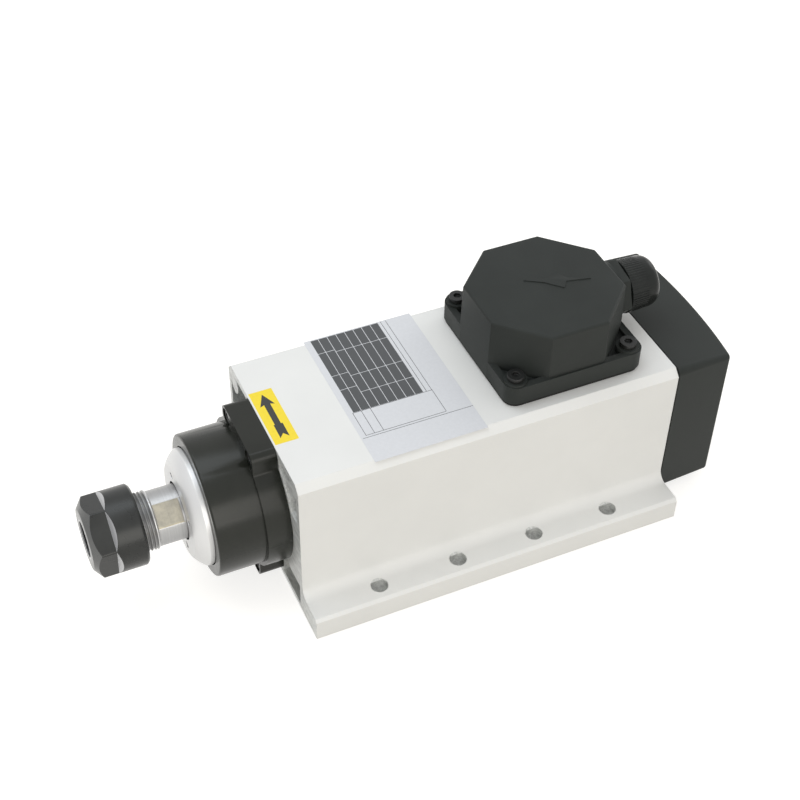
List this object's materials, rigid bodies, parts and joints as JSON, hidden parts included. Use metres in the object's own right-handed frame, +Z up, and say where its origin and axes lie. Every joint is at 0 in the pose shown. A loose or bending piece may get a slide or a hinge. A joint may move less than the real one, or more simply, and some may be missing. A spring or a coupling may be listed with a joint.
{
  "type": "motor spindle",
  "caption": "Air-cooled motor spindle: extruded body on a bolt-down base, collet chuck nose, terminal box with cable gland on top, and a fan under a plastic rear cover.",
  "frame": {"origin": "on the underside of the base, at the centre of its grid of holes", "axes": "+Y along the spindle from the collet nose to the fan cover, +Z up from the base to the terminal box, +X across"},
  "size_m": [0.11, 0.276, 0.1052],
  "materials": {
    "body_silver": "satin",
    "housing_black": "satin black",
    "ground_steel": "ground",
    "turned_alloy": "turned",
    "black_steel": "black oxide",
    "bearing_steel": "polished",
    "cage_brass": "satin",
    "core_steel": "rough",
    "winding_copper": "varnished",
    "cast_alloy": "cast",
    "black_plastic": "moulded",
    "lead_red": "satin",
    "terminal_white": "moulded",
    "terminal_brass": "satin",
    "gasket_rubber": "matte"
  },
  "bodies": {
    "housing": {"body_extrusion": "body_silver", "front_bearing_housing": "housing_black", "front_housing_screws": "black_steel", "front_bearing_outer_rings": "bearing_steel", "front_bearing_retainer": "turned_alloy", "retainer_screws": "black_steel", "stator_core": "core_steel", "stator_windings": "winding_copper", "stator_leads": "lead_red", "rear_bearing_housing": "cast_alloy", "rear_housing_screws": "black_steel", "rear_bearing_outer_ring": "bearing_steel", "preload_spring": "black_steel", "fan_cover": "black_plastic", "fan_cover_screws": "black_steel", "terminal_box_gasket": "gasket_rubber", "terminal_box_lid": "black_plastic", "terminal_box_screws": "black_steel", "terminal_block": "terminal_white", "terminal_screws": "terminal_brass", "gland_body": "black_plastic", "gland_locknut": "black_plastic", "gland_seal": "gasket_rubber", "gland_nut": "black_plastic"},
    "spindle": {"spindle_shaft": "ground_steel", "rotor_core": "core_steel", "rotor_cage": "cast_alloy", "front_bearing_inner_rings": "bearing_steel", "rear_bearing_inner_ring": "bearing_steel", "labyrinth_ring": "turned_alloy", "rear_bearing_circlip": "black_steel", "cooling_fan": "black_plastic", "fan_clip": "black_steel"},
    "front_ball_sets": {"front_bearing_balls": "bearing_steel", "front_bearing_cages": "cage_brass"},
    "rear_ball_set": {"rear_bearing_balls": "bearing_steel", "rear_bearing_cage": "cage_brass"},
    "collet": {"collet": "ground_steel"},
    "collet_nut": {"collet_nut": "black_steel"}
  },
  "joints": [
    {"name": "spindle_spin", "type": "hinge", "parent": "housing", "child": "spindle", "pos_m": [0, 0, 0.0385], "axis": [0, -1, 0], "continuous": true},
    {"name": "front_balls_roll", "type": "hinge", "parent": "housing", "child": "front_ball_sets", "pos_m": [0, -0.0975, 0.0385], "axis": [0, -1, 0], "continuous": true},
    {"name": "rear_balls_roll", "type": "hinge", "parent": "housing", "child": "rear_ball_set", "pos_m": [0, 0.0835, 0.0385], "axis": [0, -1, 0], "continuous": true},
    {"name": "collet_release", "type": "slide", "parent": "spindle", "child": "collet", "axis": [0, -1, 0], "range_m": [0, 0.0023]},
    {"name": "nut_turn", "type": "hinge", "parent": "collet", "child": "collet_nut", "pos_m": [0, -0.15, 0.0385], "axis": [0, -1, 0], "range_deg": [0, 540]}
  ],
  "couplings": [
    {"joint": "front_balls_roll", "follows": "spindle_spin", "ratio": 0.41111},
    {"joint": "rear_balls_roll", "follows": "spindle_spin", "ratio": 0.384},
    {"joint": "collet_release", "follows": "nut_turn", "m_per_rad": 0.00023873}
  ]
}
